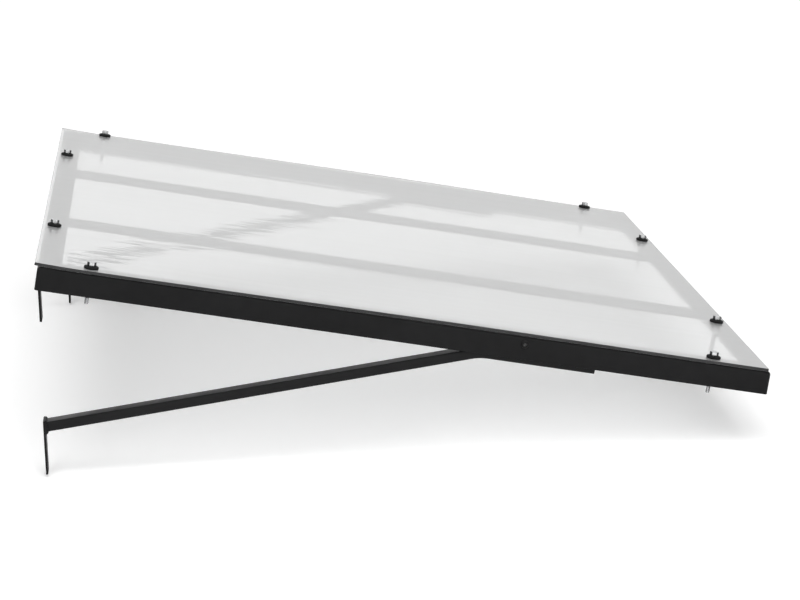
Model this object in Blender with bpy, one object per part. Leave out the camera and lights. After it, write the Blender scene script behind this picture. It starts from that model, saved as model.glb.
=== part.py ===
# Door canopy: a frosted sheet bolted onto a welded frame of steel angle, with two struts to the wall.
# Metres, +Z up. X runs along the width, the wall is the plane Y = 0 and the roof reaches towards -Y.
# Z = 0 is level with the lower edges of the lower wall plates. Left is -X, as seen from in front.

import math

import bmesh
import bpy
from mathutils import Matrix, Vector

# Roof frame, measured over the outer faces of its four rails, along the slope
FRAME_WIDTH = 1.200
FRAME_DEPTH = 0.950
FRAME_HEIGHT = 0.277
ROOF_SLOPE = math.radians(11.31)
WALL_CLEARANCE = 0.0005

# Steel angle of the rails
ANGLE_SIZE = 0.030
ANGLE_WALL = 0.003
ANGLE_BEND_RADIUS = 0.004

# Sheet, as large as the frame and set back towards the wall
SHEET_THICKNESS = 0.004
SHEET_SET_BACK = 0.004

# Flat tubes under the sheet, from the wall rail to the front rail
RAFTER_SPACING = 0.434
RAFTER_WIDTH = 0.025
RAFTER_HEIGHT = 0.010
TUBE_WALL = 0.0015
TUBE_CORNER_RADIUS = 0.0022

# Plates screwed to the wall
PLATE_WIDTH = 0.030
PLATE_THICKNESS = 0.003
PLATE_FROM_SIDE = 0.045
LOWER_PLATE_HEIGHT = 0.070
UPPER_PLATE_DROP = 0.077
WALL_HOLE_DIAMETER = 0.007
WALL_HOLE_FROM_END = 0.012
WALL_HOLE_SPACING = 0.024

# Struts: bent flat tubes whose tails lie along the side rails
STRUT_WIDTH = 0.025
STRUT_HEIGHT = 0.013
STRUT_BELOW_PLATE_TOP = 0.0082
STRUT_BELOW_RAIL = 0.006
STRUT_END_FROM_FRONT = 0.2275
STRUT_TAIL_LENGTH = 0.151
STRUT_BEND_RADIUS = 0.070

# Lugs on the strut tails and the screws through them
LUG_LENGTH = 0.050
LUG_THICKNESS = 0.004
LUG_TOP_BELOW_FLANGE = 0.001
SCREW_FROM_STRUT_END = 0.096
SCREW_DROP = 0.0095
SCREW_DIAMETER = 0.006
SCREW_LENGTH = 0.018
SCREW_HEAD_DIAMETER = 0.0105
SCREW_HEAD_HEIGHT = 0.0033
SCREW_TOP_DIAMETER = 0.0052
SOCKET_ACROSS_FLATS = 0.004
SOCKET_DEPTH = 0.002

# Roof bolts with their washers and nuts
BOLT_FROM_SHEET_EDGE = 0.016
SIDE_BOLT_FROM_SHEET_END = 0.071
CROSS_BOLT_FROM_SIDE = 0.282
BOLT_DIAMETER = 0.006
BOLT_LENGTH = 0.050
BOLT_HEAD_HEIGHT = 0.0052
ACROSS_FLATS = 0.010
NUT_HEIGHT = 0.005
WASHER_DIAMETER = 0.019
WASHER_THICKNESS = 0.0035
WASHER_EDGE = 0.001
HEX_CHAMFER = 0.0005
THREAD_CHAMFER = 0.0006

# Clearance between pieces that touch, and around a bolt in its hole
GAP = 0.0003
HOLE_CLEARANCE = 0.0006

# Facets
ARC_STEPS = 4
BEND_STEPS = 6
RING_STEPS = 24
CUT_MARGIN = 0.002
SHARP_ANGLE = math.radians(28)

UPPER_PLATE_BOTTOM = FRAME_HEIGHT - UPPER_PLATE_DROP
SIDES = (("left", -1), ("right", 1))


def clear_scene():
    for old in list(bpy.data.objects):
        bpy.data.objects.remove(old, do_unlink=True)


def material(name, colour, roughness, metallic=0.0, alpha=1.0):
    made = bpy.data.materials.new(name)
    made.use_nodes = True
    surface = made.node_tree.nodes["Principled BSDF"]
    surface.inputs["Base Color"].default_value = (*colour, 1.0)
    surface.inputs["Roughness"].default_value = roughness
    surface.inputs["Metallic"].default_value = metallic
    surface.inputs["Alpha"].default_value = alpha
    made.diffuse_color = (*colour, alpha)
    return made


# Mesh helpers
def mesh_object(name, bm, surface, parent=None):
    bmesh.ops.recalc_face_normals(bm, faces=bm.faces)
    mesh = bpy.data.meshes.new(name)
    bm.to_mesh(mesh)
    bm.free()
    mesh.shade_smooth()
    mesh.set_sharp_from_angle(angle=SHARP_ANGLE)
    if surface:
        mesh.materials.append(surface)
    made = bpy.data.objects.new(name, mesh)
    bpy.context.scene.collection.objects.link(made)
    made.parent = parent
    return made


def add_ring(bm, points):
    return [bm.verts.new(point) for point in points]


def bridge(bm, first, second):
    count = len(first)
    for i in range(count):
        j = (i + 1) % count
        bm.faces.new((first[i], first[j], second[j], second[i]))


def loft(bm, rings):
    """A solid through rings of points, with a flat face over the first and the last."""
    loops = [add_ring(bm, ring) for ring in rings]
    for first, second in zip(loops, loops[1:]):
        bridge(bm, first, second)
    bm.faces.new(loops[0])
    bm.faces.new(loops[-1])


def closed_band(bm, rings):
    """A solid ring: the last ring of points is joined back to the first."""
    loops = [add_ring(bm, ring) for ring in rings]
    for first, second in zip(loops, loops[1:] + loops[:1]):
        bridge(bm, first, second)


def hollow_tube(bm, outer_rings, inner_rings):
    outer = [add_ring(bm, ring) for ring in outer_rings]
    inner = [add_ring(bm, ring) for ring in inner_rings]
    for loops in (outer, inner):
        for first, second in zip(loops, loops[1:]):
            bridge(bm, first, second)
    bridge(bm, outer[0], inner[0])
    bridge(bm, outer[-1], inner[-1])


def circle(radius, height):
    turns = [2 * math.pi * i / RING_STEPS for i in range(RING_STEPS)]
    return [Vector((radius * math.cos(a), radius * math.sin(a), height)) for a in turns]


def hexagon(across_flats, height):
    """A hexagon with as many points as a circle, so that the two can be bridged."""
    sixth = math.pi / 3
    points = []
    for i in range(RING_STEPS):
        turn = 2 * math.pi * i / RING_STEPS
        from_flat = (turn + sixth / 2) % sixth - sixth / 2
        radius = across_flats / 2 / math.cos(from_flat)
        points.append(Vector((radius * math.cos(turn), radius * math.sin(turn), height)))
    return points


def arc(centre_x, centre_y, radius, start, end, steps=ARC_STEPS):
    turns = [math.radians(start + (end - start) * i / steps) for i in range(steps + 1)]
    return [(centre_x + radius * math.cos(a), centre_y + radius * math.sin(a)) for a in turns]


def rounded_rectangle(width, height, radius):
    x = width / 2 - radius
    y = height / 2 - radius
    corners = ((x, y, 0), (-x, y, 90), (-x, -y, 180), (x, -y, 270))
    return [point for cx, cy, start in corners for point in arc(cx, cy, radius, start, start + 90)]


def box(name, low, high, surface, parent=None):
    bm = bmesh.new()
    bmesh.ops.create_cube(bm, size=1.0)
    size = Vector(high) - Vector(low)
    middle = (Vector(high) + Vector(low)) / 2
    bmesh.ops.scale(bm, vec=size, verts=bm.verts)
    bmesh.ops.translate(bm, vec=middle, verts=bm.verts)
    return mesh_object(name, bm, surface, parent)


def cut_holes(target, holes, diameter, axis, length, parent=None):
    """Cuts round holes through the target, at these centres and along this axis."""
    bm = bmesh.new()
    turn = Vector((0, 0, 1)).rotation_difference(Vector(axis)).to_matrix().to_4x4()
    for centre in holes:
        bmesh.ops.create_cone(
            bm,
            cap_ends=True,
            segments=RING_STEPS,
            radius1=diameter / 2,
            radius2=diameter / 2,
            depth=length,
            matrix=Matrix.Translation(centre) @ turn,
        )
    cutter = mesh_object(f"{target.name}_hole_cutter_{len(target.modifiers)}", bm, None, parent)
    cutter.hide_render = True
    cutter.display_type = "WIRE"
    cut = target.modifiers.new("holes", "BOOLEAN")
    cut.operation = "DIFFERENCE"
    cut.solver = "EXACT"
    cut.object = cutter


# Roof frame: an empty at the rear top edge of the wall rail, turned to the slope.
# In it, Y = 0 is the wall rail's outer face, -Y runs down the slope and Z = 0 is the flanges' top.
def roof_plane():
    reach = WALL_CLEARANCE + ANGLE_SIZE * math.sin(ROOF_SLOPE)
    made = bpy.data.objects.new("roof_plane", None)
    made.location = (0, -reach, FRAME_HEIGHT)
    made.rotation_euler = (ROOF_SLOPE, 0, 0)
    bpy.context.scene.collection.objects.link(made)
    placed = Matrix.Translation(made.location) @ Matrix.Rotation(ROOF_SLOPE, 4, "X")
    return made, placed


def angle_profile():
    """The rail's section as (distance in from its outer face, height below its top)."""
    bend = arc(ANGLE_BEND_RADIUS, -ANGLE_BEND_RADIUS, ANGLE_BEND_RADIUS, 180, 90)
    flange = [(ANGLE_SIZE, 0), (ANGLE_SIZE, -ANGLE_WALL), (ANGLE_WALL, -ANGLE_WALL)]
    leg = [(ANGLE_WALL, -ANGLE_SIZE), (0, -ANGLE_SIZE)]
    return bend + flange + leg


def rail(name, length, location, turn, surface, parent):
    """A length of angle along local Y, mitred at both ends, with its outer face at X = 0."""
    bm = bmesh.new()
    profile = angle_profile()
    rings = []
    for end in (-1, 1):
        rings.append([Vector((x, end * (length / 2 - x - GAP), z)) for x, z in profile])
    loft(bm, rings)
    made = mesh_object(name, bm, surface, parent)
    made.location = location
    made.rotation_euler = (0, 0, math.radians(turn))
    return made


def build_rails(surface, roof):
    half = FRAME_WIDTH / 2
    middle = -FRAME_DEPTH / 2
    return {
        "left": rail("side_rail_left", FRAME_DEPTH, (-half, middle, 0), 0, surface, roof),
        "right": rail("side_rail_right", FRAME_DEPTH, (half, middle, 0), 180, surface, roof),
        "wall": rail("wall_rail", FRAME_WIDTH, (0, 0, 0), -90, surface, roof),
        "front": rail("front_rail", FRAME_WIDTH, (0, -FRAME_DEPTH, 0), 90, surface, roof),
    }


def build_sheet(surface, roof):
    half = FRAME_WIDTH / 2
    low = (-half, SHEET_SET_BACK - FRAME_DEPTH, GAP)
    high = (half, SHEET_SET_BACK, GAP + SHEET_THICKNESS)
    return box("roof_sheet", low, high, surface, roof)


def build_rafters(surface, roof):
    outer = rounded_rectangle(RAFTER_WIDTH, RAFTER_HEIGHT, TUBE_CORNER_RADIUS)
    inner = rounded_rectangle(
        RAFTER_WIDTH - 2 * TUBE_WALL,
        RAFTER_HEIGHT - 2 * TUBE_WALL,
        TUBE_CORNER_RADIUS - TUBE_WALL,
    )
    clear = ANGLE_WALL + GAP
    ends = (-clear, clear - FRAME_DEPTH)
    for side, sign in SIDES:
        bm = bmesh.new()
        outer_rings = [[Vector((x, y, z)) for x, z in outer] for y in ends]
        inner_rings = [[Vector((x, y, z)) for x, z in inner] for y in ends]
        hollow_tube(bm, outer_rings, inner_rings)
        made = mesh_object(f"rafter_{side}", bm, surface, roof)
        made.location = (sign * RAFTER_SPACING / 2, 0, -clear - RAFTER_HEIGHT / 2)


# Roof bolts
def bolt_places():
    """Where the roof bolts stand on the roof plane, with the rail that each goes through."""
    side_x = FRAME_WIDTH / 2 - BOLT_FROM_SHEET_EDGE
    cross_x = FRAME_WIDTH / 2 - CROSS_BOLT_FROM_SIDE
    rear = SHEET_SET_BACK
    front = SHEET_SET_BACK - FRAME_DEPTH
    places = []
    for side, sign in SIDES:
        places.append((side, sign * side_x, rear - SIDE_BOLT_FROM_SHEET_END))
        places.append((side, sign * side_x, front + SIDE_BOLT_FROM_SHEET_END))
        places.append(("wall", sign * cross_x, rear - BOLT_FROM_SHEET_EDGE))
        places.append(("front", sign * cross_x, front + BOLT_FROM_SHEET_EDGE))
    return places


def bolt_mesh(bm):
    """A hex head that rests on Z = 0, with its shank below."""
    top = BOLT_HEAD_HEIGHT
    radius = BOLT_DIAMETER / 2
    loft(
        bm,
        [
            circle(ACROSS_FLATS / 2 - HEX_CHAMFER / 2, top),
            hexagon(ACROSS_FLATS, top - HEX_CHAMFER),
            hexagon(ACROSS_FLATS, 0),
            circle(radius, 0),
            circle(radius, THREAD_CHAMFER - BOLT_LENGTH),
            circle(radius - THREAD_CHAMFER, -BOLT_LENGTH),
        ],
    )


def nut_mesh(bm, bolt_diameter):
    """A hex nut that hangs from Z = 0."""
    bore = (bolt_diameter + HOLE_CLEARANCE) / 2
    closed_band(
        bm,
        [
            circle(bore, 0),
            circle(ACROSS_FLATS / 2, 0),
            hexagon(ACROSS_FLATS, -HEX_CHAMFER),
            hexagon(ACROSS_FLATS, HEX_CHAMFER - NUT_HEIGHT),
            circle(ACROSS_FLATS / 2, -NUT_HEIGHT),
            circle(bore, -NUT_HEIGHT),
        ],
    )


def washer_mesh(bm):
    """A thick washer that lies on Z = 0, with a sloping rim."""
    bore = (BOLT_DIAMETER + HOLE_CLEARANCE) / 2
    rim = WASHER_DIAMETER / 2
    closed_band(
        bm,
        [
            circle(bore, 0),
            circle(rim, 0),
            circle(rim, WASHER_THICKNESS - WASHER_EDGE),
            circle(rim - WASHER_EDGE, WASHER_THICKNESS),
            circle(bore, WASHER_THICKNESS),
        ],
    )


def build_bolts(zinc, rubber, roof):
    washer_seat = GAP + SHEET_THICKNESS + GAP
    head_seat = washer_seat + WASHER_THICKNESS + GAP
    nut_seat = -ANGLE_WALL - GAP
    for number, (_, x, y) in enumerate(bolt_places(), 1):
        bm = bmesh.new()
        bolt_mesh(bm)
        mesh_object(f"roof_bolt_{number}", bm, zinc, roof).location = (x, y, head_seat)
        bm = bmesh.new()
        washer_mesh(bm)
        mesh_object(f"seal_washer_{number}", bm, rubber, roof).location = (x, y, washer_seat)
        bm = bmesh.new()
        nut_mesh(bm, BOLT_DIAMETER)
        mesh_object(f"roof_nut_{number}", bm, zinc, roof).location = (x, y, nut_seat)


def cut_bolt_holes(sheet, rails, roof):
    """The cutters stand on the roof plane, so they are parented to it and not to a rail."""
    diameter = BOLT_DIAMETER + HOLE_CLEARANCE
    through_sheet = SHEET_THICKNESS + 2 * CUT_MARGIN
    through_rail = ANGLE_WALL + 2 * CUT_MARGIN
    sheet_middle = GAP + SHEET_THICKNESS / 2
    places = bolt_places()
    holes = [Vector((x, y, sheet_middle)) for _, x, y in places]
    cut_holes(sheet, holes, diameter, (0, 0, 1), through_sheet, roof)
    for key, piece in rails.items():
        holes = [Vector((x, y, -ANGLE_WALL / 2)) for at, x, y in places if at == key]
        cut_holes(piece, holes, diameter, (0, 0, 1), through_rail, roof)


# Wall plates
def wall_holes(bottom, y):
    x = FRAME_WIDTH / 2 - PLATE_FROM_SIDE
    heights = (bottom + WALL_HOLE_FROM_END, bottom + WALL_HOLE_FROM_END + WALL_HOLE_SPACING)
    return {sign: [Vector((sign * x, y, z)) for z in heights] for _, sign in SIDES}


def build_lower_plates(surface):
    x = FRAME_WIDTH / 2 - PLATE_FROM_SIDE
    holes = wall_holes(0, -PLATE_THICKNESS / 2)
    for side, sign in SIDES:
        low = (sign * x - PLATE_WIDTH / 2, -PLATE_THICKNESS, 0)
        high = (sign * x + PLATE_WIDTH / 2, 0, LOWER_PLATE_HEIGHT)
        made = box(f"lower_wall_plate_{side}", low, high, surface)
        length = PLATE_THICKNESS + 2 * CUT_MARGIN
        cut_holes(made, holes[sign], WALL_HOLE_DIAMETER, (0, 1, 0), length)


def upper_plate_outline(placed):
    """The plate's outline seen from its edge, as world (Y, Z): along the rail's leg, then upright."""
    back = -ANGLE_WALL - GAP
    top = -ANGLE_WALL - GAP
    slanted_top = placed @ Vector((0, back, top))
    slanted_end = placed @ Vector((0, back, -ANGLE_SIZE))
    front_top = placed @ Vector((0, back - PLATE_THICKNESS, top))
    front_y = slanted_end.y - PLATE_THICKNESS
    # The front face bends where its slanted and its upright line meet.
    down = (slanted_end - slanted_top).normalized()
    front_bend = front_top + down * ((front_y - front_top.y) / down.y)
    return [
        (slanted_top.y, slanted_top.z),
        (slanted_end.y, slanted_end.z),
        (slanted_end.y, UPPER_PLATE_BOTTOM),
        (front_y, UPPER_PLATE_BOTTOM),
        (front_bend.y, front_bend.z),
        (front_top.y, front_top.z),
    ]


def build_upper_plates(surface, placed):
    outline = upper_plate_outline(placed)
    back_y = outline[2][0]
    middle_y = back_y - PLATE_THICKNESS / 2
    x = FRAME_WIDTH / 2 - PLATE_FROM_SIDE
    holes = wall_holes(UPPER_PLATE_BOTTOM, middle_y)
    for side, sign in SIDES:
        bm = bmesh.new()
        edges = (sign * x - PLATE_WIDTH / 2, sign * x + PLATE_WIDTH / 2)
        loft(bm, [[Vector((edge, y, z)) for y, z in outline] for edge in edges])
        made = mesh_object(f"upper_wall_plate_{side}", bm, surface)
        length = PLATE_THICKNESS + 2 * CUT_MARGIN
        cut_holes(made, holes[sign], WALL_HOLE_DIAMETER, (0, 1, 0), length)


# Struts
def strut_path(sign, placed):
    """The strut's centre line in world coordinates: wall end, bend corner and tail end."""
    wall_x = sign * (FRAME_WIDTH / 2 - PLATE_FROM_SIDE)
    wall_z = LOWER_PLATE_HEIGHT - STRUT_BELOW_PLATE_TOP
    wall_end = Vector((wall_x, -PLATE_THICKNESS - GAP, wall_z))
    tail_x = sign * (FRAME_WIDTH / 2 - ANGLE_WALL - GAP - STRUT_WIDTH / 2)
    tail_z = STRUT_HEIGHT / 2 - ANGLE_SIZE - STRUT_BELOW_RAIL
    end_y = STRUT_END_FROM_FRONT - FRAME_DEPTH
    corner = placed @ Vector((tail_x, end_y + STRUT_TAIL_LENGTH, tail_z))
    tail_end = placed @ Vector((tail_x, end_y, tail_z))
    return wall_end, corner, tail_end


def rounded_path(start, corner, end):
    """Points and directions along two straight runs joined by an arc."""
    first = (corner - start).normalized()
    second = (end - corner).normalized()
    turn = first.angle(second)
    axis = first.cross(second).normalized()
    cut = STRUT_BEND_RADIUS * math.tan(turn / 2)
    arc_start = corner - first * cut
    centre = arc_start + axis.cross(first) * STRUT_BEND_RADIUS
    stations = [(start, first)]
    for i in range(BEND_STEPS + 1):
        spin = Matrix.Rotation(turn * i / BEND_STEPS, 3, axis)
        stations.append((centre + spin @ (arc_start - centre), spin @ first))
    stations.append((end, second))
    return stations


def cross_section(points, centre, along, cut_normal):
    """Section points at a place on the tube, slid along it onto the cut plane."""
    across = Vector((1, 0, 0))
    across = (across - along * across.dot(along)).normalized()
    upward = across.cross(along).normalized()
    if upward.z < 0:
        upward = -upward
    ring = []
    for x, y in points:
        point = across * x + upward * y
        point -= along * (point.dot(cut_normal) / along.dot(cut_normal))
        ring.append(centre + point)
    return ring


def build_struts(surface, placed):
    outer = rounded_rectangle(STRUT_WIDTH, STRUT_HEIGHT, TUBE_CORNER_RADIUS)
    inner = rounded_rectangle(
        STRUT_WIDTH - 2 * TUBE_WALL,
        STRUT_HEIGHT - 2 * TUBE_WALL,
        TUBE_CORNER_RADIUS - TUBE_WALL,
    )
    wall_normal = Vector((0, 1, 0))
    for side, sign in SIDES:
        stations = rounded_path(*strut_path(sign, placed))
        rings = {}
        for key, points in (("outer", outer), ("inner", inner)):
            rings[key] = [cross_section(points, at, along, along) for at, along in stations]
            rings[key][0] = cross_section(points, *stations[0], wall_normal)
        bm = bmesh.new()
        hollow_tube(bm, rings["outer"], rings["inner"])
        mesh_object(f"strut_{side}", bm, surface)


# Lugs and their screws
def screw_mesh(bm):
    """A button head that rests on Z = 0, with a hex socket, and its shank below."""
    rim = SCREW_HEAD_DIAMETER / 2
    top = SCREW_HEAD_HEIGHT
    radius = SCREW_DIAMETER / 2
    flat = SCREW_TOP_DIAMETER / 2
    dome = []
    for i in range(ARC_STEPS + 1):
        turn = math.pi / 2 * i / ARC_STEPS
        dome.append(circle(flat + (rim - flat) * math.sin(turn), top * math.cos(turn)))
    dome[-1] = circle(rim, 0)
    loft(
        bm,
        [
            hexagon(SOCKET_ACROSS_FLATS, top - SOCKET_DEPTH),
            hexagon(SOCKET_ACROSS_FLATS, top),
            *dome,
            circle(radius, 0),
            circle(radius, THREAD_CHAMFER - SCREW_LENGTH),
            circle(radius - THREAD_CHAMFER, -SCREW_LENGTH),
        ],
    )


def build_lugs(steel, black, zinc, rails, roof):
    """A lug stands on each strut tail against the rail's leg, and a screw holds leg and lug."""
    end_y = STRUT_END_FROM_FRONT - FRAME_DEPTH
    screw_y = end_y + SCREW_FROM_STRUT_END
    lug_outer = FRAME_WIDTH / 2 - ANGLE_WALL - GAP
    lug_inner = lug_outer - LUG_THICKNESS
    lug_top = -ANGLE_WALL - LUG_TOP_BELOW_FLANGE
    lug_bottom = GAP + STRUT_HEIGHT - ANGLE_SIZE - STRUT_BELOW_RAIL
    diameter = SCREW_DIAMETER + HOLE_CLEARANCE
    length = ANGLE_WALL + LUG_THICKNESS + 2 * CUT_MARGIN
    for side, sign in SIDES:
        xs = sorted((sign * lug_outer, sign * lug_inner))
        low = (xs[0], screw_y - LUG_LENGTH / 2, lug_bottom)
        high = (xs[1], screw_y + LUG_LENGTH / 2, lug_top)
        lug = box(f"strut_lug_{side}", low, high, steel, roof)
        hole = [Vector((sign * lug_outer, screw_y, -SCREW_DROP))]
        cut_holes(lug, hole, diameter, (1, 0, 0), length, roof)
        cut_holes(rails[side], hole, diameter, (1, 0, 0), length, roof)
        outward = Vector((0, 0, 1)).rotation_difference(Vector((sign, 0, 0)))
        bm = bmesh.new()
        screw_mesh(bm)
        screw = mesh_object(f"strut_screw_{side}", bm, black, roof)
        screw.location = (sign * (FRAME_WIDTH / 2 + GAP), screw_y, -SCREW_DROP)
        screw.rotation_euler = outward.to_euler()
        bm = bmesh.new()
        nut_mesh(bm, SCREW_DIAMETER)
        nut = mesh_object(f"strut_nut_{side}", bm, zinc, roof)
        nut.location = (sign * (lug_inner - GAP), screw_y, -SCREW_DROP)
        nut.rotation_euler = outward.to_euler()


def main():
    clear_scene()
    black_rail = material("black_rail_paint", (0.020, 0.020, 0.021), 0.38, 0.0)
    black_rafter = material("black_rafter_paint", (0.022, 0.022, 0.023), 0.42, 0.0)
    black_strut = material("black_strut_paint", (0.021, 0.021, 0.022), 0.40, 0.0)
    black_plate = material("black_plate_paint", (0.019, 0.019, 0.020), 0.42, 0.0)
    black_screw = material("blackened_screw", (0.030, 0.030, 0.032), 0.35, 1.0)
    frosted = material("frosted_sheet", (0.86, 0.87, 0.88), 0.12, 0.0, 0.55)
    zinc = material("bright_zinc", (0.78, 0.79, 0.80), 0.24, 1.0)
    rubber = material("black_rubber", (0.015, 0.015, 0.015), 0.70, 0.0)

    roof, placed = roof_plane()
    rails = build_rails(black_rail, roof)
    sheet = build_sheet(frosted, roof)
    build_rafters(black_rafter, roof)
    build_bolts(zinc, rubber, roof)
    cut_bolt_holes(sheet, rails, roof)
    build_lower_plates(black_plate)
    build_upper_plates(black_plate, placed)
    build_struts(black_strut, placed)
    build_lugs(black_plate, black_screw, zinc, rails, roof)


main()
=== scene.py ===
import math
import bpy
import bmesh
import numpy as np
from mathutils import Matrix, Vector


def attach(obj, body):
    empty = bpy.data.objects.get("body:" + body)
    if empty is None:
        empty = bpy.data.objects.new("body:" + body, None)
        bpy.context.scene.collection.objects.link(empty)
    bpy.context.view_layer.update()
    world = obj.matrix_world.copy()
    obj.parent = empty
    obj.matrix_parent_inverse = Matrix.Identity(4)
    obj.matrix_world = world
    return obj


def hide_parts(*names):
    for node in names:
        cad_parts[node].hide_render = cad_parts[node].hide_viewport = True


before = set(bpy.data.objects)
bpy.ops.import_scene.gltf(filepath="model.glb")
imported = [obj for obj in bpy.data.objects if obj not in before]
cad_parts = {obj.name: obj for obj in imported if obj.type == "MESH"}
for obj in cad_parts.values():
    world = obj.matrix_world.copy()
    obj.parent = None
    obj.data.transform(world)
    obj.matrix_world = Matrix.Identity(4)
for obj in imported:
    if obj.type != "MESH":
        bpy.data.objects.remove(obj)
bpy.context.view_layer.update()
print("frame loaded,", len(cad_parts), "nodes")

# sizes shared by several pieces, in metres, as the frame has them
canopy = {
    "width": 1.200,
    "depth": 0.950,
    "height": 0.277,
    "slope": math.radians(11.31),
    "wallClearance": 0.0005,
    "angleSize": 0.030,
    "angleWall": 0.003,
    "gap": 0.0003,
    "plateFromSide": 0.045,
    "holeRadius": 0.0033,
}
sides = (("Left", "left", -1), ("Right", "right", 1))  # how names end, and the side of x


# shader maths: a Wire is a node's socket that Python expressions can use
class Wire:
    def __init__(self, tree, socket):
        self.tree = tree
        self.socket = socket

    # another output of the same node
    def pick(self, key):
        return Wire(self.tree, self.socket.node.outputs[key])

    # a Math node on numbers and wires
    def calculate(self, operation, *values):
        return self.tree.add("ShaderNodeMath", {"operation": operation}, dict(enumerate(values)))

    def __add__(self, other):
        return self.calculate("ADD", self, other)

    def __radd__(self, other):
        return self.calculate("ADD", other, self)

    def __sub__(self, other):
        return self.calculate("SUBTRACT", self, other)

    def __rsub__(self, other):
        return self.calculate("SUBTRACT", other, self)

    def __mul__(self, other):
        return self.calculate("MULTIPLY", self, other)

    def __rmul__(self, other):
        return self.calculate("MULTIPLY", other, self)

    def __abs__(self):
        return self.calculate("ABSOLUTE", self)

    # this value at a share of 0, the other at 1, and a straight mix between
    def toward(self, other, share):
        return self * (1 - share) + other * share


# the nodes of one material or of the world
class Tree:
    def __init__(self, owner, outputKind):
        owner.use_nodes = True
        self.owner = owner
        self.nodes = owner.node_tree.nodes
        self.links = owner.node_tree.links
        self.nodes.clear()
        self.end = self.nodes.new(outputKind)

    # one way to make every node: settings first, then values or links, and one output comes back
    def add(self, kind, settings=None, values=None, out=0):
        made = self.nodes.new(kind)
        for key, value in (settings or {}).items():
            if key == "stops":
                for element, (place, tone) in zip(made.color_ramp.elements, value):
                    element.position = place
                    element.color = (tone, tone, tone, 1)
            else:
                setattr(made, key, value)
        for key, value in (values or {}).items():
            if isinstance(value, Wire):
                self.links.new(value.socket, made.inputs[key])
            else:
                made.inputs[key].default_value = value
        return Wire(self, made.outputs[out])

    # object coordinates, turned and then stretched
    def place(self, stretch=(1, 1, 1), turn=(0, 0, 0)):
        where = self.add("ShaderNodeTexCoord", out="Object")
        values = {"Vector": where, "Rotation": turn}
        turned = self.add("ShaderNodeMapping", {"vector_type": "POINT"}, values)
        return self.add("ShaderNodeVectorMath", {"operation": "MULTIPLY"}, {0: turned, 1: stretch})

    # a cloudy value round 0.5
    def noise(self, where, scale, detail):
        values = {"Vector": where, "Scale": scale, "Detail": detail}
        return self.add("ShaderNodeTexNoise", None, values)

    # 0 below the first stop, 1 above the second
    def ramp(self, value, low, high):
        return self.add("ShaderNodeValToRGB", {"stops": ((low, 0.0), (high, 1.0))}, {"Fac": value})

    # a colour between two; 6, 7 and 2 are the Mix node's colour sockets
    def between(self, mask, dark, light):
        values = {0: mask, 6: (*dark, 1), 7: (*light, 1)}
        return self.add("ShaderNodeMix", {"data_type": "RGBA"}, values, out=2)

    # a height of 1 stands for the distance, in metres
    def bump(self, height, distance=1.0):
        values = {"Height": height, "Distance": distance}
        return self.add("ShaderNodeBump", None, values, out="Normal")

    # kept from 0 to 1
    def clamp(self, value):
        return self.add("ShaderNodeClamp", None, {"Value": value})

    # 1 for rays that show a thing straight on, mirrored or through the sheet
    def seenRays(self):
        rays = self.add("ShaderNodeLightPath", out="Is Camera Ray")
        return self.clamp(rays + rays.pick("Is Glossy Ray") + rays.pick("Is Transmission Ray"))

    # the surface goes to the output, and the material or world comes back
    def finish(self, surface):
        self.links.new(surface.socket, self.end.inputs["Surface"])
        return self.owner


# the nodes of a new material
def newFinish(name):
    return Tree(bpy.data.materials.new(name), "ShaderNodeOutputMaterial")


# finishes; each noise is given as (scale, detail), and heights are in metres

steelPaint = {
    "dark": (0.0056, 0.0056, 0.0059),
    "light": (0.0088, 0.0088, 0.0092),
    "roughLow": 0.34,
    "roughHigh": 0.50,
    "cloud": (9.0, 4.0),
    "fine": (60.0, 3.0),
    "fineShare": 0.4,
    "stops": (0.36, 0.64),
    "speck": (1500.0, 1.0),
    "speckShare": 0.4,
    "peel": (900.0, 2.0),
    "peelHeight": 0.00002,
    "wavy": (34.0, 2.0),
}


# satin black paint: cloudy tone and gloss, a fine orange peel and the unevenness of the steel
# below; the roughness runs from low to high by the clouds and a speckle, less the piece's polish
def blackPaint(name, tone, gloss, polish, turn, unevenness):
    paint = newFinish(name)
    where = paint.place(turn=(turn, 0, 0))
    cloud = paint.noise(where, *steelPaint["cloud"])
    fine = paint.noise(where, *steelPaint["fine"])
    speck = paint.noise(where, *steelPaint["speck"])
    peel = paint.noise(where, *steelPaint["peel"])
    wavy = paint.noise(where, *steelPaint["wavy"])
    mask = paint.ramp(cloud.toward(fine, steelPaint["fineShare"]), *steelPaint["stops"])
    dark, light = ([tone * part for part in steelPaint[end]] for end in ("dark", "light"))
    low, high = (steelPaint[end] - polish for end in ("roughLow", "roughHigh"))
    return paint.finish(paint.add("ShaderNodeBsdfPrincipled", None, {
        "Base Color": paint.between(mask, dark, light),
        "Roughness": mask.toward(speck, steelPaint["speckShare"]) * (high - low) + low,
        "Specular IOR Level": gloss,
        "Normal": paint.bump(peel * steelPaint["peelHeight"] + wavy * unevenness),
    }))


sheetFinish = {
    "clearest": (0.95, 0.955, 0.955),
    "milkiest": (0.975, 0.98, 0.98),
    "clear": 0.70,
    "roughness": 0.004,
    "roughSpread": 0.006,
    "bend": 1.12,
    "gloss": 0.34,
    "glossIor": 1.49,
    "wave": (34.0, 1.0),
    "waveStretch": 0.035,
    "waveHeight": 0.00034,
    "cloud": (3.0, 3.0),
    "dust": (340.0, 4.0),
    "dustShare": 0.4,
    "stops": (0.35, 0.68),
}


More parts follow.
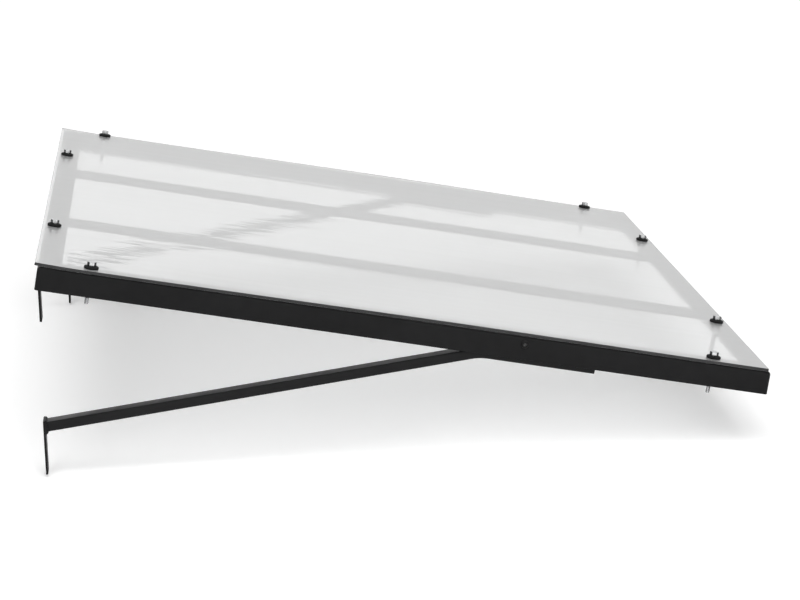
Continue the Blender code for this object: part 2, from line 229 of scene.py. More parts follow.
# opal plastic: partly clear and partly milky, with a satin coat and the long shallow waves of its
# rolling, which are a noise drawn out along the slope
def opalSheet(name):
    paint = newFinish(name)
    turn = (-canopy["slope"], 0, 0)
    where = paint.place(turn=turn)
    wave = paint.noise(paint.place((1, sheetFinish["waveStretch"], 1), turn), *sheetFinish["wave"])
    cloud = paint.noise(where, *sheetFinish["cloud"])
    dust = paint.noise(where, *sheetFinish["dust"])
    mask = paint.ramp(cloud.toward(dust, sheetFinish["dustShare"]), *sheetFinish["stops"])
    return paint.finish(paint.add("ShaderNodeBsdfPrincipled", None, {
        "Base Color": paint.between(mask, sheetFinish["clearest"], sheetFinish["milkiest"]),
        "Roughness": mask * sheetFinish["roughSpread"] + sheetFinish["roughness"],
        "IOR": sheetFinish["bend"],
        "Transmission Weight": sheetFinish["clear"],
        "Coat Weight": 1.0,
        "Coat Roughness": sheetFinish["gloss"],
        "Coat IOR": sheetFinish["glossIor"],
        "Normal": paint.bump(wave, sheetFinish["waveHeight"]),
    }))


shadedEdgeFinish = {
    "dark": (0.018, 0.018, 0.0185),
    "light": (0.036, 0.036, 0.037),
    "roughness": 0.36,
    "roughSpread": 0.15,
    "gloss": 0.3,
    "saw": (1800.0, 2.0),
    "sawStretch": 0.02,
    "sawHeight": 0.00003,
    "stain": (22.0, 3.0),
    "stainShare": 0.55,
    "stops": (0.38, 0.64),
}


# the sheet's sawn side edges: they look into its thickness and are painted dark as shade, with fine
# saw lines
def shadedSawnEdge(name):
    paint = newFinish(name)
    turn = (-canopy["slope"], 0, 0)
    saw = paint.noise(paint.place((1, shadedEdgeFinish["sawStretch"], 1), turn), *shadedEdgeFinish["saw"])
    stain = paint.noise(paint.place(turn=turn), *shadedEdgeFinish["stain"])
    mask = paint.ramp(saw.toward(stain, shadedEdgeFinish["stainShare"]), *shadedEdgeFinish["stops"])
    return paint.finish(paint.add("ShaderNodeBsdfPrincipled", None, {
        "Base Color": paint.between(mask, shadedEdgeFinish["dark"], shadedEdgeFinish["light"]),
        "Roughness": mask * shadedEdgeFinish["roughSpread"] + shadedEdgeFinish["roughness"],
        "Specular IOR Level": shadedEdgeFinish["gloss"],
        "Normal": paint.bump(saw, shadedEdgeFinish["sawHeight"]),
    }))


zincFinish = {
    "dark": (0.060, 0.060, 0.062),
    "light": (0.86, 0.865, 0.87),
    "roughness": 0.15,
    "roughSpread": 0.16,
    "patch": (420.0, 3.0),
    "patchy": 0.35,
    "grain": (5200.0, 2.0),
    "grainShare": 0.25,
    "grainHeight": 0.000005,
    "stops": (0.35, 0.62),
    "paintedShadeFrom": 0.42,
    "paintedShadeSteepness": 3.0,
}


# bright zinc plating: faint spangle, a fine grain and a duller skin in patches; on the bolt heads
# the facets that face along Y get painted shade, darker by (|normal along Y| - start) * steepness
def brightZinc(name, paintedShade):
    paint = newFinish(name)
    where = paint.place()
    patch = paint.noise(where, *zincFinish["patch"])
    grain = paint.noise(where, *zincFinish["grain"])
    mask = paint.ramp(patch.toward(grain, zincFinish["grainShare"]), *zincFinish["stops"])
    bright = mask * zincFinish["patchy"] + (1 - zincFinish["patchy"])
    # painted shade: the head's facets that face along Y are darkened
    if paintedShade:
        normal = paint.add("ShaderNodeTexCoord", out="Normal")
        facing = abs(paint.add("ShaderNodeSeparateXYZ", None, {"Vector": normal}, out="Y"))
        facetShade = (facing - zincFinish["paintedShadeFrom"]) * zincFinish["paintedShadeSteepness"]
        bright = bright * (1 - paint.clamp(facetShade))
    return paint.finish(paint.add("ShaderNodeBsdfPrincipled", None, {
        "Base Color": paint.between(bright, zincFinish["dark"], zincFinish["light"]),
        "Metallic": 1.0,
        "Roughness": (1 - mask) * zincFinish["roughSpread"] + zincFinish["roughness"],
        "Normal": paint.bump(grain, zincFinish["grainHeight"]),
    }))


rubberFinish = {
    "dark": (0.006, 0.006, 0.006),
    "light": (0.014, 0.014, 0.0145),
    "roughness": 0.60,
    "roughSpread": 0.2,
    "gloss": 0.15,
    "bloom": (260.0, 4.0),
    "grain": (3600.0, 3.0),
    "grainHeight": 0.00002,
    "stops": (0.42, 0.72),
}


# moulded rubber: dull, with a fine grain and a paler bloom in places
def blackRubber(name):
    paint = newFinish(name)
    where = paint.place()
    bloom = paint.noise(where, *rubberFinish["bloom"])
    grain = paint.noise(where, *rubberFinish["grain"])
    mask = paint.ramp(bloom, *rubberFinish["stops"])
    return paint.finish(paint.add("ShaderNodeBsdfPrincipled", None, {
        "Base Color": paint.between(mask, rubberFinish["dark"], rubberFinish["light"]),
        "Roughness": mask * rubberFinish["roughSpread"] + rubberFinish["roughness"],
        "Specular IOR Level": rubberFinish["gloss"],
        "Normal": paint.bump(grain, rubberFinish["grainHeight"]),
    }))


screwFinish = {
    "roughness": 0.42,
    "roughSpread": 0.12,
    "gloss": 0.13,
    "rub": (700.0, 3.0),
    "grain": (4200.0, 2.0),
    "grainHeight": 0.00001,
    "stops": (0.45, 0.70),
}


# a screw painted over with the rail; a paler copy of this finish is a painted glint in its socket
def blackenedSteel(name, dark, light):
    paint = newFinish(name)
    where = paint.place()
    rub = paint.noise(where, *screwFinish["rub"])
    grain = paint.noise(where, *screwFinish["grain"])
    mask = paint.ramp(rub, *screwFinish["stops"])
    return paint.finish(paint.add("ShaderNodeBsdfPrincipled", None, {
        "Base Color": paint.between(mask, (dark, dark, dark), (light, light, light)),
        "Roughness": mask * screwFinish["roughSpread"] + screwFinish["roughness"],
        "Specular IOR Level": screwFinish["gloss"],
        "Normal": paint.bump(grain, screwFinish["grainHeight"]),
    }))


# how the black paint differs from piece to piece; turn keeps their patterns apart
coats = {
    "rail": {"tone": 1.04, "gloss": 0.13, "polish": 0.0, "turn": 0.3, "unevenness": 0.00004},
    "rafter": {"tone": 1.05, "gloss": 0.13, "polish": 0.0, "turn": 0.9, "unevenness": 0.00006},
    "strut": {"tone": 0.95, "gloss": 0.16, "polish": 0.07, "turn": 1.4, "unevenness": 0.00055},
    "plate": {"tone": 0.95, "gloss": 0.13, "polish": 0.0, "turn": 2.1, "unevenness": 0.00006},
    "weld": {"tone": 1.1, "gloss": 0.15, "polish": 0.05, "turn": 2.6, "unevenness": 0.00010},
}
finish = {name: blackPaint(f"{name}Paint", **coat) for name, coat in coats.items()}
finish.update({
    "sheet": opalSheet("opalSheet"),
    # the sheet's side edges, painted dark as shade
    "edge": shadedSawnEdge("sawnSheetEdgePaintedShade"),
    "zinc": brightZinc("brightZinc", False),
    # bolt heads: zinc with painted shade on the facets that face along Y
    "head": brightZinc("zincWithPaintedShade", True),
    "rubber": blackRubber("washerRubber"),
    "screw": blackenedSteel("blackenedScrew", 0.008, 0.013),
    # painted glint: the socket's floor is made pale
    "socket": blackenedSteel("socketPaintedGlint", 0.060, 0.140),
})
print("finishes made")


# mesh making; sharp angles are in degrees

making = {
    "doubles": 1e-6,
    "sharp": 35,
    "roundingSegments": 2,
    "roundingAngle": 60,
    "holeAround": 32,
}


# roof coordinates (across, along the slope, above the flanges), turned by the slope and moved to
# the wall
def roofToWorld(points):
    sine, cosine = math.sin(canopy["slope"]), math.cos(canopy["slope"])
    x, y, z = points[..., 0], points[..., 1], points[..., 2]
    back = canopy["wallClearance"] + canopy["angleSize"] * sine
    level, high = y * cosine - z * sine - back, y * sine + z * cosine + canopy["height"]
    return np.stack([x, level, high], -1)


# vectors divided by their length
def unit(vectors):
    return vectors / np.linalg.norm(vectors, axis=-1, keepdims=True)


# centre + radius * (cos, sin) of evenly spaced angles, which are in degrees
def arcPoints(centre, radius, start, end, steps):
    turns = np.radians(np.linspace(start, end, steps + 1))
    return np.stack([centre[0] + radius * np.cos(turns), centre[1] + radius * np.sin(turns)], -1)


# points turned round Z by an angle in degrees
def turned(points, angle):
    sine, cosine = math.sin(math.radians(angle)), math.cos(math.radians(angle))
    x, y, z = points[..., 0], points[..., 1], points[..., 2]
    return np.stack([x * cosine - y * sine, x * sine + y * cosine, z], -1)


# quads between neighbouring points of a grid; a wrapped side joins its last line to its first
def gridFaces(rows, columns, wrapRows, wrapColumns):
    i = np.arange(rows if wrapRows else rows - 1)
    j = np.arange(columns if wrapColumns else columns - 1)
    i, j = np.meshgrid(i, j, indexing="ij")
    below, right = (i + 1) % rows, (j + 1) % columns
    quads = [i * columns + j, i * columns + right, below * columns + right, below * columns + j]
    return np.stack(quads, -1).reshape(-1, 4).tolist()


# rings that join round to the first, or have one face over the first ring and one over the last
def ringFaces(rows, columns, closed):
    if closed:
        return gridFaces(rows, columns, True, True)
    ends = [list(range(columns)), list(range((rows - 1) * columns, rows * columns))]
    return gridFaces(rows, columns, False, True) + ends


# the same faces for points that come later in the list
def shifted(faces, count):
    return [[corner + count for corner in face] for face in faces]


# smooth faces, with creases where they meet at more than the angle
def shade(mesh, sharp):
    mesh.shade_smooth()
    mesh.set_sharp_from_angle(angle=math.radians(sharp))


# a mesh from an array of points and a list of faces; doubles are merged and faces turned outwards
def makePiece(name, points, faces, look, sharp=making["sharp"]):
    mesh = bpy.data.meshes.new(name)
    mesh.from_pydata(points.reshape(-1, 3).tolist(), [], faces)
    bm = bmesh.new()
    bm.from_mesh(mesh)
    bmesh.ops.remove_doubles(bm, verts=bm.verts, dist=making["doubles"])
    bmesh.ops.recalc_face_normals(bm, faces=bm.faces)
    bm.to_mesh(mesh)
    bm.free()
    shade(mesh, sharp)
    mesh.materials.append(finish[look])
    piece = bpy.data.objects.new(name, mesh)
    bpy.context.scene.collection.objects.link(piece)
    return piece


# tells the frame what a piece is: its body and the CAD nodes that it stands for; the slot is not
# used
def finishPiece(piece, slot, *nodes):
    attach(piece, "root")
    if nodes:
        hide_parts(*nodes)
    return piece


# an open skin is turned to face a direction, grows its thickness behind it and gets round edges
def thickenSkin(piece, facing, thickness, edge):
    total = sum((face.normal for face in piece.data.polygons), Vector())
    if total.dot(Vector(facing)) < 0:
        piece.data.flip_normals()
    wall = piece.modifiers.new("thickness", "SOLIDIFY")
    wall.thickness = thickness
    wall.offset = -1.0
    wall.use_even_offset = True
    rounding = piece.modifiers.new("edge", "BEVEL")
    rounding.width = edge
    rounding.segments = making["roundingSegments"]
    rounding.limit_method = "ANGLE"
    rounding.angle_limit = math.radians(making["roundingAngle"])


# what the modifiers make becomes the piece's own mesh
def settle(piece):
    graph = bpy.context.evaluated_depsgraph_get()
    made = bpy.data.meshes.new_from_object(piece.evaluated_get(graph))
    piece.modifiers.clear()
    piece.data = made


# round holes: closed cylinders of (radius * cos, radius * sin) stand across the roof plane, or lie
# through a rail's leg, and are cut out of the piece
def drill(piece, centres, throughLeg, length, sharp):
    around = making["holeAround"]
    turns = np.linspace(0, 2 * math.pi, around, endpoint=False)
    ends = np.array([-length / 2, length / 2])[:, None] + 0 * turns
    u = canopy["holeRadius"] * np.cos(turns) + 0 * ends
    v = canopy["holeRadius"] * np.sin(turns) + 0 * ends
    ring = np.stack([ends, u, v] if throughLeg else [u, v, ends], -1)
    points = ring + np.array(centres)[:, None, None]
    faces = []
    for number in range(len(centres)):
        faces += shifted(ringFaces(2, around, False), number * 2 * around)
    cutter = makePiece("cutter", roofToWorld(points), faces, "zinc")
    cut = piece.modifiers.new("holes", "BOOLEAN")
    cut.operation = "DIFFERENCE"
    cut.solver = "EXACT"
    cut.object = cutter
    settle(piece)
    bpy.data.objects.remove(cutter, do_unlink=True)
    shade(piece.data, sharp)


# roof bolts and the sheet

bolt = {
    "fromEdge": 0.016,
    "fromEnd": 0.071,
    "crossFromSide": 0.282,
    "radius": 0.003,
    "length": 0.050,
    "neck": 0.0008,
    "pitch": 0.001,
    "threadDepth": 0.00055,
    "stepsPerTurn": 5,
    "tipLength": 0.0012,
    "tipNarrowing": 0.0008,
    "head": 0.0052,
    "flats": 0.010,
    "dish": 0.0003,
    "chamfer": 0.0006,
    "seatEdge": 0.00025,
    "headRings": 9,
    "around": 36,
    "spins": (2, 52, 3, 51, 31, 22, 1, 54),
    "sharp": 40,
}
sheet = {
    "thickness": 0.004,
    "setBack": 0.004,
    "bow": 0.0012,
    "bowSkew": 1.25,
    "bowMiddle": 0.45,
    "cornerLift": 0.0014,
    "edge": 0.0005,
    "across": 96,
    "along": 96,
    "drillLength": 0.03,
    "sideFacing": 0.5,
    "sideDepth": 0.001,
    "sharp": 20,
}


# where the bolts stand on the roof plane, with the rail that each goes through
def boltPlaces():
    sideX = canopy["width"] / 2 - bolt["fromEdge"]
    crossX = canopy["width"] / 2 - bolt["crossFromSide"]
    rear = sheet["setBack"]
    front = rear - canopy["depth"]
    places = []
    for label, _, sign in sides:
        places += [
            (f"sideRail{label}", sign * sideX, rear - bolt["fromEnd"]),
            (f"sideRail{label}", sign * sideX, front + bolt["fromEnd"]),
            ("wallRail", sign * crossX, rear - bolt["fromEdge"]),
            ("frontRail", sign * crossX, front + bolt["fromEdge"]),
        ]
    return places


# height of the sheet's unevenness: a skewed half sine squared between the side bolts, strongest
# along the sides, and a lift of the corners at the wall by the square of the way past the bolts
def sheetRise(x, y):
    rear = sheet["setBack"]
    first, last = rear - bolt["fromEnd"], rear - canopy["depth"] + bolt["fromEnd"]
    half, cross = canopy["width"] / 2, canopy["width"] / 2 - bolt["crossFromSide"]
    share = np.clip((first - y) / (first - last), 0, 1)
    side = sheet["bowMiddle"] + (1 - sheet["bowMiddle"]) * (x / half) ** 2
    bow = sheet["bow"] * np.sin(math.pi * share ** sheet["bowSkew"]) ** 2 * side
    past = np.clip((y - first) / (rear - first), 0, 1)
    out = np.clip((np.abs(x) - cross) / (half - cross), 0, 1)
    return bow + sheet["cornerLift"] * (past * out) ** 2


# the sheet's upper skin is a grid over the roof at gap + thickness + rise, and grows downwards
def makeSheet():
    half, rear = canopy["width"] / 2, sheet["setBack"]
    x, y = np.meshgrid(np.linspace(-half, half, sheet["across"]),
                       np.linspace(rear, rear - canopy["depth"], sheet["along"]), indexing="ij")
    skin = np.stack([x, y, canopy["gap"] + sheet["thickness"] + sheetRise(x, y)], -1)
    faces = gridFaces(*x.shape, False, False)
    piece = makePiece("roofSheet", roofToWorld(skin), faces, "sheet")
    thickenSkin(piece, (0, 0, 1), sheet["thickness"], sheet["edge"])
    settle(piece)
    centres = [(x, y, 0) for _, x, y in boltPlaces()]
    drill(piece, centres, False, sheet["drillLength"], sheet["sharp"])
    # the sheet's side faces get the edge finish, painted dark as shade
    piece.data.materials.append(finish["edge"])
    for face in piece.data.polygons:
        atSide = abs(face.center.x) > half - sheet["sideDepth"]
        if atSide and abs(face.normal.x) > sheet["sideFacing"]:
            face.material_index = 1
    finishPiece(piece, "sheet", "roof_sheet")


makeSheet()
print("roof sheet made")


# struts, lugs and rails: the side rails are drilled for the screws that hold the lugs

strut = {
    "width": 0.025,
    "height": 0.013,
    "wallHeight": 0.0618,
    "belowRail": 0.006,
    "endFromFront": 0.2275,
    "tailLength": 0.151,
    "bendRadius": 0.070,
    "bendSteps": 16,
    "straightSteps": 14,
}
lug = {
    "length": 0.050,
    "thickness": 0.004,
    "topBelowFlange": 0.001,
    "edge": 0.0006,
    "lines": 6,
    "screwFromEnd": 0.096,
    "screwDrop": 0.0095,
    "drillLength": 0.02,
    "sharp": 30,
}
rail = {
    "bend": 0.0045,
    "bendSteps": 8,
    "innerBend": 0.0012,
    "innerSteps": 4,
    "toe": 0.0007,
    "toeSteps": 3,
    "corner": 0.0035,
    "cornerSteps": 5,
    "mitreStep": 0.001,
    "stations": 24,
    "drillLength": 0.02,
    "sharp": 30,
}
screwY = strut["endFromFront"] - canopy["depth"] + lug["screwFromEnd"]
lugFoot = canopy["gap"] + strut["height"] - canopy["angleSize"] - strut["belowRail"]


# the section as (inset from the outer face, height), one closed loop of rounded bends and toes
def angleProfile():
    size, wall = canopy["angleSize"], canopy["angleWall"]
    bend, inner, toe, steps = rail["bend"], rail["innerBend"], rail["toe"], rail["toeSteps"]
    return np.concatenate([
        arcPoints((bend, -bend), bend, 180, 90, rail["bendSteps"]),
        arcPoints((size - toe, -toe), toe, 90, 0, steps),
        arcPoints((size - toe, -wall + toe), toe, 0, -90, steps),
        arcPoints((wall + inner, -wall - inner), inner, 90, 180, rail["innerSteps"]),
        arcPoints((wall - toe, -size + toe), toe, 0, -90, steps),
        arcPoints((toe, -size + toe), toe, -90, -180, steps),
    ])


# the section carried along the rail; at each end, what lies within the corner radius of the outer
# face follows an eighth of a circle up to the mitre, and the rest runs straight to it
def makeRail(name, node, length, place, turn):
    section = angleProfile()
    inset, height = section[:, 0], section[:, 1]
    corner, step = rail["corner"], rail["mitreStep"]
    half = length / 2 - canopy["gap"]
    outer = inset < corner
    straightEnd = np.where(outer, half - corner, half - inset - step)
    inside = np.maximum(corner - inset, 0)
    shares = np.linspace(-1, 1, rail["stations"])
    middle = [np.stack([inset, share * straightEnd, height], -1) for share in shares]
    tip = []
    for share in np.linspace(0, 1, rail["cornerSteps"] + 1)[1:]:
        angle = share * math.pi / 4
        x = np.where(outer, corner - inside * math.cos(angle), inset)
        y = np.where(outer, half - corner + inside * math.sin(angle), straightEnd + step * share)
        tip.append(np.stack([x, y, height], -1))
    mirrored = [ring * np.array([1, -1, 1]) for ring in reversed(tip)]
    rings = turned(np.array(mirrored + middle + tip), turn) + np.array(place)
    faces = ringFaces(*rings.shape[:2], False)
    piece = makePiece(name, roofToWorld(rings), faces, "rail", rail["sharp"])
    centres = [(x, y, 0) for through, x, y in boltPlaces() if through == name]
    drill(piece, centres, False, rail["drillLength"], rail["sharp"])
    return finishPiece(piece, "rail_paint", node)


# each rail's outer face stands on the roof's outline, and the turn points its section inwards
def makeRails():
    half, depth = canopy["width"] / 2, canopy["depth"]
    for label, node, sign in sides:
        name, place = f"sideRail{label}", (sign * half, -depth / 2, 0)
        piece = makeRail(name, f"side_rail_{node}", depth, place, 90 + sign * 90)
        centres = [(sign * half, screwY, -lug["screwDrop"])]
        drill(piece, centres, True, rail["drillLength"], rail["sharp"])
    makeRail("wallRail", "wall_rail", canopy["width"], (0, 0, 0), -90)
    makeRail("frontRail", "front_rail", canopy["width"], (0, -depth, 0), 90)


makeRails()
print("rails made")


# flat tubes: rafters and struts

rafter = {"spacing": 0.434, "width": 0.025, "height": 0.010, "stations": 24}
tube = {"wall": 0.0015, "corner": 0.0022, "cornerSteps": 6, "sharp": 30}
plate = {
    "width": 0.030,
    "thickness": 0.003,
    "lowerHeight": 0.070,
    "upperDrop": 0.077,
    "hole": 0.007,
    "holeFromEnd": 0.012,
    "holeSpacing": 0.024,
    "edge": 0.0005,
    "across": 11,
    "up": 9,
    "ringsRoundHole": 5,
    "sharp": 30,
}


# four quarter circles one after another, as (across, up)
def roundedRectangle(width, height, radius):
    x, y, steps = width / 2 - radius, height / 2 - radius, tube["cornerSteps"]
    corners = (((x, y), 0), ((-x, y), 90), ((-x, -y), 180), ((x, -y), 270))
    arcs = [arcPoints(centre, radius, start, start + 90, steps) for centre, start in corners]
    return np.concatenate(arcs)


# unit vectors along, across and above each direction of a path, the one across being level
def pathFrames(directions):
    along = unit(directions)
    across = unit(np.array([1.0, 0, 0]) - along * along[:, :1])
    upward = np.cross(across, along)
    return along, across, upward * np.sign(upward[:, 2:])


# a rounded rectangle carried along a path, out along its outside and back along its inside;
# at a wall the first section is slid along the path until it lies in the wall's plane
def makeTube(name, path, directions, size, look, atWall):
    along, across, upward = pathFrames(directions)
    width, height, wall, corner = size["width"], size["height"], tube["wall"], tube["corner"]
    outer = roundedRectangle(width, height, corner)
    inner = roundedRectangle(width - 2 * wall, height - 2 * wall, corner - wall)
    skins = []
    for section in (outer, inner):
        offset = section[None, :, :1] * across[:, None] + section[None, :, 1:] * upward[:, None]
        if atWall:
            offset[0] -= (offset[0][:, 1] / along[0, 1])[:, None] * along[0]
        skins.append(path[:, None] + offset)
    rings = np.concatenate([skins[0], skins[1][::-1]])
    return makePiece(name, rings, ringFaces(*rings.shape[:2], True), look, tube["sharp"])


# the rafters run straight down the slope under the flanges, between the wall and front rails
def makeRafters():
    clear = canopy["angleWall"] + canopy["gap"]
    y = np.linspace(-clear, clear - canopy["depth"], rafter["stations"])
    for label, node, sign in sides:
        x = np.full_like(y, sign * rafter["spacing"] / 2)
        path = roofToWorld(np.stack([x, y, 0 * y - clear - rafter["height"] / 2], -1))
        directions = np.gradient(path, axis=0)
        piece = makeTube(f"rafter{label}", path, directions, rafter, "rafter", False)
        finishPiece(piece, "rafter_paint", f"rafter_{node}")


# two straight runs joined by an arc that touches both: from the wall plate up to the corner, and
# then along the rail; on the arc, place = start + inward * R (1 - cos t) + first * R sin t
def strutPath(sign):
    halfWidth = canopy["width"] / 2
    wallEnd = np.array([sign * (halfWidth - canopy["plateFromSide"]),
                        -plate["thickness"] - canopy["gap"], strut["wallHeight"]])
    tailX = sign * (halfWidth - canopy["angleWall"] - canopy["gap"] - strut["width"] / 2)
    tailZ = strut["height"] / 2 - canopy["angleSize"] - strut["belowRail"]
    endY = strut["endFromFront"] - canopy["depth"]
    tailPlaces = [[tailX, endY + strut["tailLength"], tailZ], [tailX, endY, tailZ]]
    corner, tailEnd = roofToWorld(np.array(tailPlaces))
    first, second = unit(corner - wallEnd), unit(tailEnd - corner)
    turn = math.acos(float(first @ second))
    inward = np.cross(unit(np.cross(first, second)), first)
    radius = strut["bendRadius"]
    arcStart = corner - first * radius * math.tan(turn / 2)
    angles = np.linspace(0, turn, strut["bendSteps"])[:, None]
    bend = arcStart + inward * radius * (1 - np.cos(angles)) + first * radius * np.sin(angles)
    bendTurn = first * np.cos(angles) + inward * np.sin(angles)
    shares = np.linspace(0, 1, strut["straightSteps"], endpoint=False)[:, None]
    run = wallEnd + (arcStart - wallEnd) * shares
    tail = tailEnd + (bend[-1] - tailEnd) * shares[::-1]
    directions = np.concatenate([run * 0 + first, bendTurn, tail * 0 + second])
    return np.concatenate([run, bend, tail]), directions


# each strut is a tube along its path, cut off in the plane of its wall plate
def makeStruts():
    for label, node, sign in sides:
        piece = makeTube(f"strut{label}", *strutPath(sign), strut, "strut", True)
        finishPiece(piece, "strut_paint", f"strut_{node}")


makeRafters()
makeStruts()
print("tubes made")


# wall plates

# the plate's face as (across, up): round each hole, lines run from its rim to the rim of its cell,
# and above the last cell there is a plain grid
def plateSkin(cells, top):
    half, rings = plate["width"] / 2, plate["ringsRoundHole"]
    across = np.linspace(-half, half, plate["across"])
    points, faces, count = [], [], 0
    for bottom, upper, centre in cells:
        up = np.linspace(bottom, upper, plate["up"])
        rim = np.concatenate([
            np.stack([across, 0 * across + bottom], -1)[:-1],
            np.stack([0 * up + half, up], -1)[:-1],
            np.stack([across[::-1], 0 * across + upper], -1)[:-1],
            np.stack([0 * up - half, up[::-1]], -1)[:-1],
        ])
        middle = np.array([0, centre])
        circle = middle + unit(rim - middle) * plate["hole"] / 2
        grid = circle + (rim - circle) * np.linspace(0, 1, rings)[:, None, None]
        points.append(grid.reshape(-1, 2))
        faces += shifted(gridFaces(rings, len(rim), False, True), count)
        count += rings * len(rim)
    u, v = np.meshgrid(across, np.linspace(cells[-1][1], top, plate["up"]), indexing="ij")
    points.append(np.stack([u, v], -1).reshape(-1, 2))
    faces += shifted(gridFaces(*u.shape, False, False), count)
    return np.concatenate(points), faces


# a plate grows its thickness away from the wall
def makePlate(name, node, x, y, z, faces):
    piece = makePiece(name, np.stack([x, y, z], -1), faces, "plate", plate["sharp"])
    thickenSkin(piece, (0, 1, 0), plate["thickness"], plate["edge"])
    finishPiece(piece, "plate_paint", node)


# the skins are the plates' back faces; the upper one is upright up to the foot of the wall rail's
# leg, and beyond it leans along the leg
def makeWallPlates():
    offset = canopy["width"] / 2 - canopy["plateFromSide"]
    cell, first = plate["holeSpacing"], plate["holeFromEnd"]
    lowerCells = [(0, cell, first), (cell, 2 * cell, first + cell)]
    lower, lowerFaces = plateSkin(lowerCells, plate["lowerHeight"])
    inner = -canopy["angleWall"] - canopy["gap"]
    leg = np.array([[0, inner, -canopy["angleSize"]], [0, inner, inner]])
    legFoot, legTop = roofToWorld(leg)[:, 1:]
    lean = unit(legTop - legFoot)
    bottom = canopy["height"] - plate["upperDrop"]
    upperCells = [
        (bottom, bottom + cell, bottom + first),
        (bottom + cell, legFoot[1], bottom + first + cell),
    ]
    slant = np.linalg.norm(legTop - legFoot)
    upper, upperFaces = plateSkin(upperCells, legFoot[1] + slant)
    beyond = np.maximum(upper[:, 1] - legFoot[1], 0)
    upperY = legFoot[0] + beyond * lean[0]
    upperZ = np.minimum(upper[:, 1], legFoot[1]) + beyond * lean[1]
    for label, node, sign in sides:
        makePlate(f"lowerWallPlate{label}", f"lower_wall_plate_{node}",
                  lower[:, 0] + sign * offset, 0 * lower[:, 0], lower[:, 1], lowerFaces)
        makePlate(f"upperWallPlate{label}", f"upper_wall_plate_{node}",
                  upper[:, 0] + sign * offset, upperY, upperZ, upperFaces)


makeWallPlates()
print("wall plates made")


# fasteners

washer = {"radius": 0.0095, "height": 0.0035, "around": 48}
hexNut = {"height": 0.005, "lip": 0.0005, "mouth": 1.14, "edge": 0.0003, "chamfer": 0.0008}
screw = {
    "length": 0.018,
    "headRadius": 0.00525,
    "headHeight": 0.0033,
    "topRadius": 0.0026,
    "domeRings": 9,
    "socketHalf": 0.002,
    "socketDepth": 0.002,
    "socketEdge": 0.0002,
    "socketFlare": 1.06,
}


# a profile of (radius, height, share of hexagon) turned about the axis:
# radius * (1 + share * (1 / cos(angle from the nearest flat) - 1)) runs from a circle to a hexagon
def turnedRings(profile, around):
    turns = np.linspace(0, 2 * math.pi, around, endpoint=False)
    fromFlat = (turns + math.pi / 6) % (math.pi / 3) - math.pi / 6
    radius, height, share = np.array(profile, float).T[:, :, None]
    spread = radius * (1 + share * (1 / np.cos(fromFlat) - 1))
    return np.stack([spread * np.cos(turns), spread * np.sin(turns), height + 0 * spread], -1)


# below a plain neck the radius falls by the thread's depth in a triangle wave of
# (height / pitch - turn), and it narrows at the tip
def threadedShank(length):
    rows = int(length / bolt["pitch"] * bolt["stepsPerTurn"]) + 1
    turns = np.linspace(0, 2 * math.pi, bolt["around"], endpoint=False)[None, :]
    height = np.linspace(0, -length, rows)[:, None]
    wave = 1 - np.abs(2 * ((height / bolt["pitch"] - turns / (2 * math.pi)) % 1) - 1)
    tip = np.clip(1 - (height + length) / bolt["tipLength"], 0, 1) * bolt["tipNarrowing"]
    neck = np.clip(1 + height / bolt["neck"], 0, 1)
    radius = bolt["radius"] - bolt["threadDepth"] * wave * (1 - neck) - tip
    return np.stack([radius * np.cos(turns), radius * np.sin(turns), height + 0 * turns], -1)


# a hex head from its dished top down to its seat, with its shank below
def boltRings():
    half, top, chamfer = bolt["flats"] / 2, bolt["head"], bolt["chamfer"]
    head = turnedRings([
        (half * 0.30, top - bolt["dish"], 0),
        (half * 0.70, top - bolt["dish"], 0),
        (half * 0.80, top, 0),
        (half * 0.94, top, 0),
        (half * 0.985, top - chamfer * 0.25, 0.30),
        (half, top - chamfer, 0.92),
        (half, top - chamfer * 1.25, 1),
        (half, bolt["seatEdge"], 1),
        (half * 0.985, 0, 0.9),
        (half * 0.9, 0, 0.0),
    ], bolt["around"])
    return np.concatenate([head, threadedShank(bolt["length"])])


# a nut that hangs from its upper face; the last ring joins the first through the bore
def nutRings():
    half, bore, low = bolt["flats"] / 2, canopy["holeRadius"], -hexNut["height"]
    mouth, edge, chamfer = bore * hexNut["mouth"], hexNut["edge"], hexNut["chamfer"]
    return turnedRings([
        (bore, -hexNut["lip"], 0),
        (mouth, 0, 0),
        (half * 0.92, 0, 0),
        (half * 0.985, -edge, 0.30),
        (half, -chamfer, 1),
        (half, low + chamfer, 1),
        (half * 0.985, low + edge, 0.30),
        (half * 0.92, low, 0),
        (mouth, low, 0),
        (bore, low + hexNut["lip"], 0),
    ], bolt["around"])


# a pressed rubber washer: its rim bulges between a flat foot and a rounded top
def washerRings():
    rim, high, bore = washer["radius"], washer["height"], canopy["holeRadius"]
    return turnedRings([
        (bore, 0, 0),
        (rim * 0.94, 0, 0),
        (rim * 0.985, high * 0.10, 0),
        (rim, high * 0.30, 0),
        (rim, high * 0.55, 0),
        (rim * 0.975, high * 0.78, 0),
        (rim * 0.925, high * 0.93, 0),
        (rim * 0.85, high, 0),
        (rim * 0.62, high * 0.985, 0),
        (bore, high * 0.985, 0),
    ], washer["around"])


# a button head from its socket's floor over its dome to its seat: out by sin t, down by cos t
def screwRings():
    dome = np.linspace(0, math.pi / 2, screw["domeRings"])
    wide = screw["topRadius"] + (screw["headRadius"] - screw["topRadius"]) * np.sin(dome)
    socket, top = screw["socketHalf"], screw["headHeight"]
    profile = [
        (socket, top - screw["socketDepth"], 1),
        (socket, top - screw["socketEdge"], 1),
        (socket * screw["socketFlare"], top, 1),
        *[(radius, height, 0) for radius, height in zip(wide, top * np.cos(dome))],
    ]
    return np.concatenate([turnedRings(profile, bolt["around"]), threadedShank(screw["length"])])


# a turned piece, given in roof coordinates
def makeRound(name, rings, closed, look, slot, node):
    faces = ringFaces(*rings.shape[:2], closed)
    return finishPiece(makePiece(name, roofToWorld(rings), faces, look, bolt["sharp"]), slot, node)
